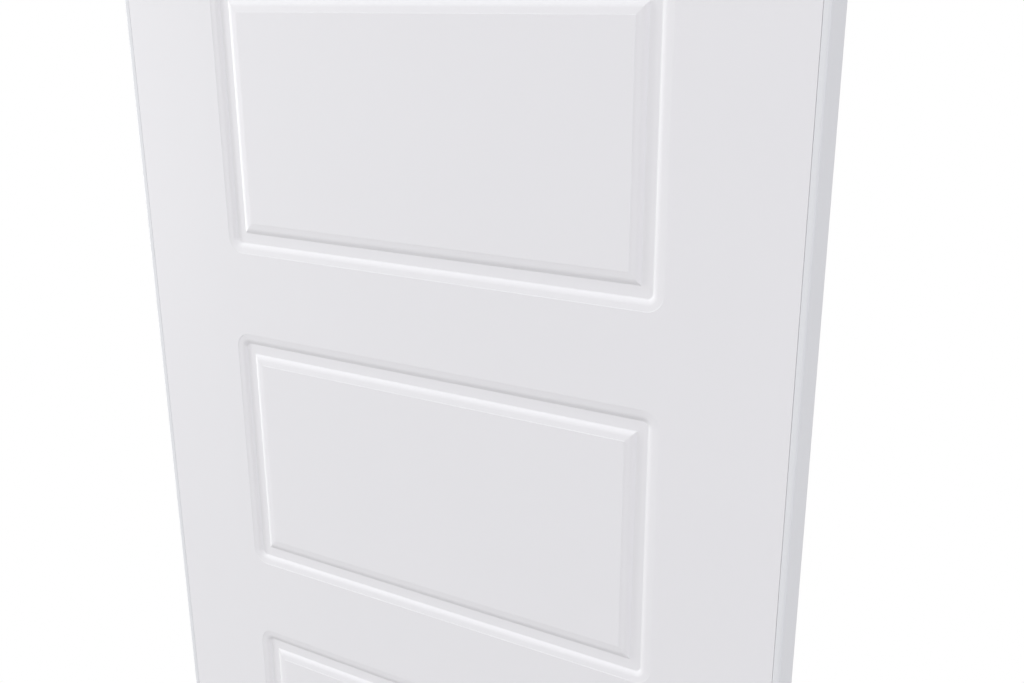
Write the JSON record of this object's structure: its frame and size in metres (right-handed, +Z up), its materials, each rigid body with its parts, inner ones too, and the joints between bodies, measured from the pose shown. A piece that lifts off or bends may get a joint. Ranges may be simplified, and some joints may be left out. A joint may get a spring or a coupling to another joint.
{
  "type": "five-panel interior door leaf",
  "caption": "White lacquered interior door leaf with wide raised panels stacked one above another, routed into boards on a timber frame and lipped on both long edges.",
  "frame": {"origin": "on the flat of the hinge edge, at the foot of the leaf, in the middle of its thickness", "axes": "+X across the leaf from the hinge edge to the lock edge, +Z up, front face towards -Y"},
  "size_m": [0.726, 0.044, 2.04],
  "materials": {
    "face_lacquer": "satin white lacquer on fibreboard",
    "edge_lacquer": "satin white lacquer on solid timber lipping",
    "frame_timber": "thin white sealer coat over sawn timber"
  },
  "bodies": {
    "root": {"front_face_board": "face_lacquer", "back_face_board": "face_lacquer", "hinge_stile": "frame_timber", "lock_stile": "frame_timber", "top_rail": "frame_timber", "bottom_rail": "frame_timber", "hinge_edge_lipping": "edge_lacquer", "lock_edge_lipping": "edge_lacquer"}
  },
  "joints": []
}
